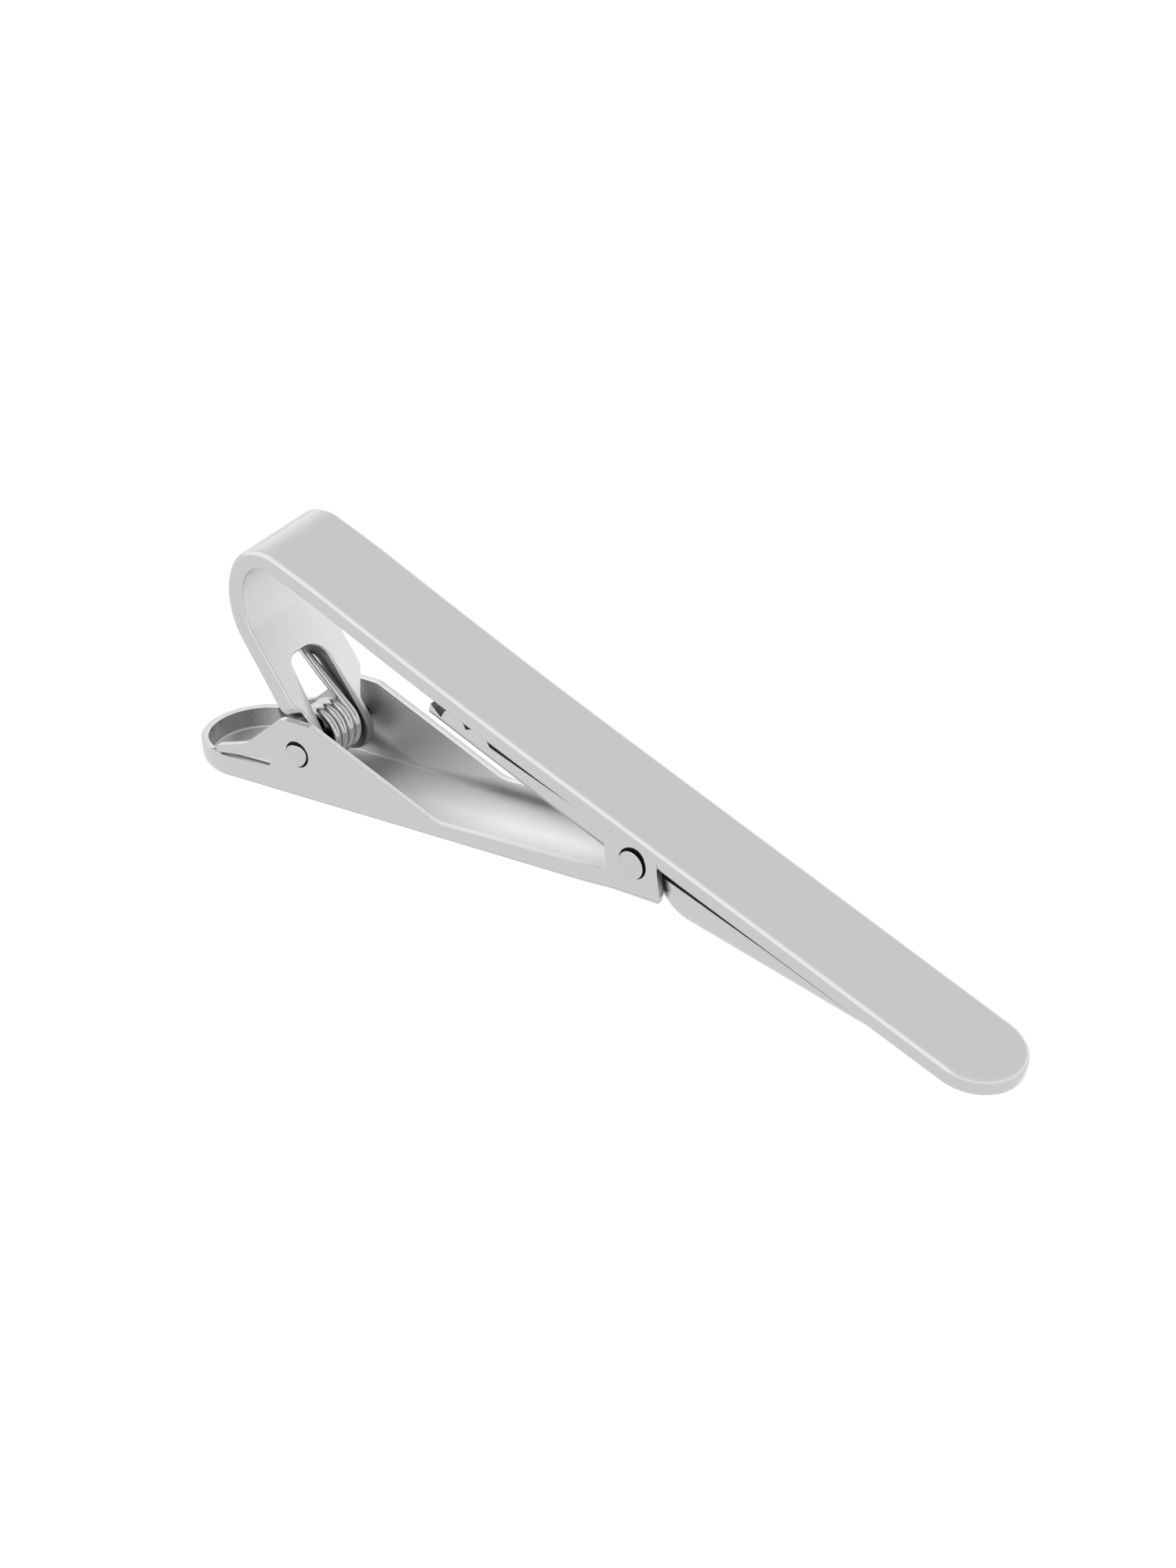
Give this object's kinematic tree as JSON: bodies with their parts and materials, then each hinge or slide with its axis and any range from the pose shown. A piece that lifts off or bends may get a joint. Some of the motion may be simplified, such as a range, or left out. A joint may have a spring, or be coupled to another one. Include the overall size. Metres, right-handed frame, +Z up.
{
  "type": "tie clip",
  "caption": "Plain polished tie clip: a flat bar with a round tip, folded back at one end to carry a sprung pinch lever with a toothed rocking jaw that grips the cloth.",
  "frame": {"origin": "middle of the bounding box, at the level of the surface that the clip lies on", "axes": "+X from the thumb pad towards the bar's tip, +Y across the bar, +Z up"},
  "size_m": [0.0578, 0.007, 0.0158],
  "materials": {
    "bar_polish": "mirror-polished silver plate",
    "clasp_polish": "bright silver plate over stamped sheet",
    "rivet_polish": "bright silver plate on turned rivets",
    "spring_wire": "drawn spring wire, bright"
  },
  "bodies": {
    "bar_body": {"front_bar": "bar_polish", "torsion_spring": "spring_wire"},
    "lever_body": {"clip_lever": "clasp_polish", "rear_hinge_pin": "rivet_polish", "front_hinge_pin": "rivet_polish"},
    "jaw_body": {"grip_jaw": "clasp_polish"}
  },
  "joints": [
    {"name": "lever_hinge", "type": "hinge", "parent": "bar_body", "child": "lever_body", "pos_m": [-0.02043, 0, 0.00399], "axis": [0, 1, 0], "range_deg": [0, 20], "stiffness_Nm_per_rad": 0.004, "springref_deg": -57.3, "deforming": ["torsion_spring"]},
    {"name": "jaw_pivot", "type": "hinge", "parent": "lever_body", "child": "jaw_body", "pos_m": [0.00357, 0, 0.0063], "axis": [0, 1, 0], "range_deg": [-20, 0]}
  ],
  "couplings": [
    {"joint": "jaw_pivot", "follows": "lever_hinge", "ratio": -1}
  ]
}
